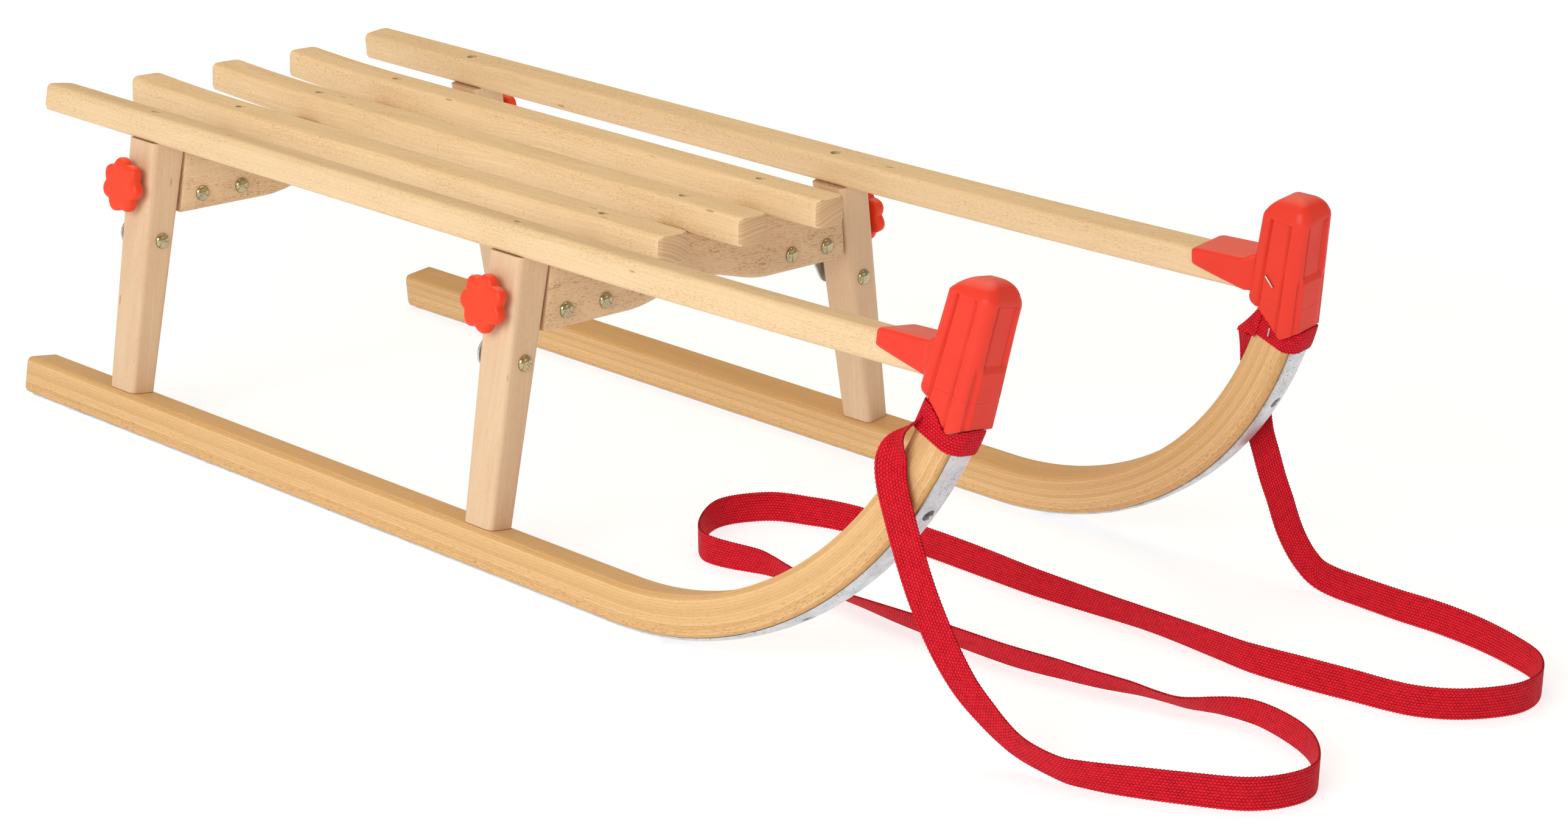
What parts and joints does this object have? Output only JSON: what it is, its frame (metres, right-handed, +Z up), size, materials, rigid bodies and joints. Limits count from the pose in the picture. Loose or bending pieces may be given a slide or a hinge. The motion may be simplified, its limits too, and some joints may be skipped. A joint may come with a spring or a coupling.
{
  "type": "folding sled",
  "caption": "Wooden folding sled: slatted seat between two side frames with laminated curved runners; each frame folds under the seat after its star knobs are loosened.",
  "frame": {"origin": "on the floor under the middle of the sled's box, without the loose pull strap", "axes": "+X towards the curved tips, +Y to the rider's left, +Z up"},
  "size_m": [1.1814, 0.4418, 0.2994],
  "materials": {
    "beech": "clear satin lacquer on planed beech, fine short dark flecks along the grain",
    "beech_pale": "sanded pale beech, slightly pink, thin lacquer",
    "laminated_beech": "bent laminated veneers, lacquered, lines follow the bend",
    "red_plastic": "satin moulded orange-red plastic",
    "webbing": "woven crimson webbing with fine ribs",
    "galvanised_steel": "galvanised, lightly speckled",
    "yellow_zinc": "yellow zinc-plated steel, glossy"
  },
  "bodies": {
    "seat": {"crossbeam_front": "beech_pale", "crossbeam_rear": "beech_pale", "seat_slat_right": "beech", "seat_slat_middle": "beech", "seat_slat_left": "beech", "slat_screw_right_rear": "yellow_zinc", "slat_screw_right_front": "yellow_zinc", "slat_screw_middle_rear": "yellow_zinc", "slat_screw_middle_front": "yellow_zinc", "slat_screw_left_rear": "yellow_zinc", "slat_screw_left_front": "yellow_zinc", "hinge_plate_rear_right": "galvanised_steel", "beam_rivet_inner_rear_right": "yellow_zinc", "beam_rivet_outer_rear_right": "yellow_zinc", "stud_insert_rear_right": "galvanised_steel", "hinge_plate_front_right": "galvanised_steel", "beam_rivet_inner_front_right": "yellow_zinc", "beam_rivet_outer_front_right": "yellow_zinc", "stud_insert_front_right": "galvanised_steel", "hinge_plate_rear_left": "galvanised_steel", "beam_rivet_inner_rear_left": "yellow_zinc", "beam_rivet_outer_rear_left": "yellow_zinc", "stud_insert_rear_left": "galvanised_steel", "hinge_plate_front_left": "galvanised_steel", "beam_rivet_inner_front_left": "yellow_zinc", "beam_rivet_outer_front_left": "yellow_zinc", "stud_insert_front_left": "galvanised_steel", "pull_strap_middle": "webbing"},
    "side_frame_right": {"runner_right": "laminated_beech", "runner_steel_right": "galvanised_steel", "side_rail_right": "beech", "tip_cap_right": "red_plastic", "strap_wrap_right": "webbing", "leg_rear_right": "beech_pale", "rail_screw_rear_right": "yellow_zinc", "pivot_rivet_rear_right": "yellow_zinc", "leg_front_right": "beech_pale", "rail_screw_front_right": "yellow_zinc", "pivot_rivet_front_right": "yellow_zinc", "pull_strap_right": "webbing"},
    "side_frame_left": {"runner_left": "laminated_beech", "runner_steel_left": "galvanised_steel", "side_rail_left": "beech", "tip_cap_left": "red_plastic", "strap_wrap_left": "webbing", "leg_rear_left": "beech_pale", "rail_screw_rear_left": "yellow_zinc", "pivot_rivet_rear_left": "yellow_zinc", "leg_front_left": "beech_pale", "rail_screw_front_left": "yellow_zinc", "pivot_rivet_front_left": "yellow_zinc", "pull_strap_left": "webbing"},
    "knob_travel_rear_right": {"knob_washer_rear_right": "yellow_zinc"},
    "knob_rear_right": {"star_knob_rear_right": "red_plastic"},
    "knob_travel_front_right": {"knob_washer_front_right": "yellow_zinc"},
    "knob_front_right": {"star_knob_front_right": "red_plastic"},
    "knob_travel_rear_left": {"knob_washer_rear_left": "yellow_zinc"},
    "knob_rear_left": {"star_knob_rear_left": "red_plastic"},
    "knob_travel_front_left": {"knob_washer_front_left": "yellow_zinc"},
    "knob_front_left": {"star_knob_front_left": "red_plastic"}
  },
  "joints": [
    {"name": "fold_right", "type": "hinge", "parent": "seat", "child": "side_frame_right", "pos_m": [0, -0.17249, 0.14899], "axis": [1, 0, 0], "range_deg": [0, 97]},
    {"name": "fold_left", "type": "hinge", "parent": "seat", "child": "side_frame_left", "pos_m": [0, 0.17249, 0.14899], "axis": [-1, 0, 0], "range_deg": [0, 97]},
    {"name": "knob_out_rear_right", "type": "slide", "parent": "side_frame_right", "child": "knob_travel_rear_right", "axis": [0, -0.9919, 0.1271], "range_m": [0, 0.0126]},
    {"name": "knob_turn_rear_right", "type": "hinge", "parent": "knob_travel_rear_right", "child": "knob_rear_right", "pos_m": [-0.36327, -0.19087, 0.19127], "axis": [0, -0.9919, 0.1271], "range_deg": [0, 3600]},
    {"name": "knob_out_front_right", "type": "slide", "parent": "side_frame_right", "child": "knob_travel_front_right", "axis": [0, -0.9919, 0.1271], "range_m": [0, 0.0126]},
    {"name": "knob_turn_front_right", "type": "hinge", "parent": "knob_travel_front_right", "child": "knob_front_right", "pos_m": [0.04473, -0.19087, 0.19127], "axis": [0, -0.9919, 0.1271], "range_deg": [0, 3600]},
    {"name": "knob_out_rear_left", "type": "slide", "parent": "side_frame_left", "child": "knob_travel_rear_left", "axis": [0, 0.9919, 0.1271], "range_m": [0, 0.0126]},
    {"name": "knob_turn_rear_left", "type": "hinge", "parent": "knob_travel_rear_left", "child": "knob_rear_left", "pos_m": [-0.36327, 0.19087, 0.19127], "axis": [0, 0.9919, 0.1271], "range_deg": [0, 3600]},
    {"name": "knob_out_front_left", "type": "slide", "parent": "side_frame_left", "child": "knob_travel_front_left", "axis": [0, 0.9919, 0.1271], "range_m": [0, 0.0126]},
    {"name": "knob_turn_front_left", "type": "hinge", "parent": "knob_travel_front_left", "child": "knob_front_left", "pos_m": [0.04473, 0.19087, 0.19127], "axis": [0, 0.9919, 0.1271], "range_deg": [0, 3600]}
  ],
  "couplings": [
    {"joint": "knob_out_rear_right", "follows": "knob_turn_rear_right", "m_per_rad": 0.00019894},
    {"joint": "knob_out_front_right", "follows": "knob_turn_front_right", "m_per_rad": 0.00019894},
    {"joint": "knob_out_rear_left", "follows": "knob_turn_rear_left", "m_per_rad": 0.00019894},
    {"joint": "knob_out_front_left", "follows": "knob_turn_front_left", "m_per_rad": 0.00019894}
  ]
}
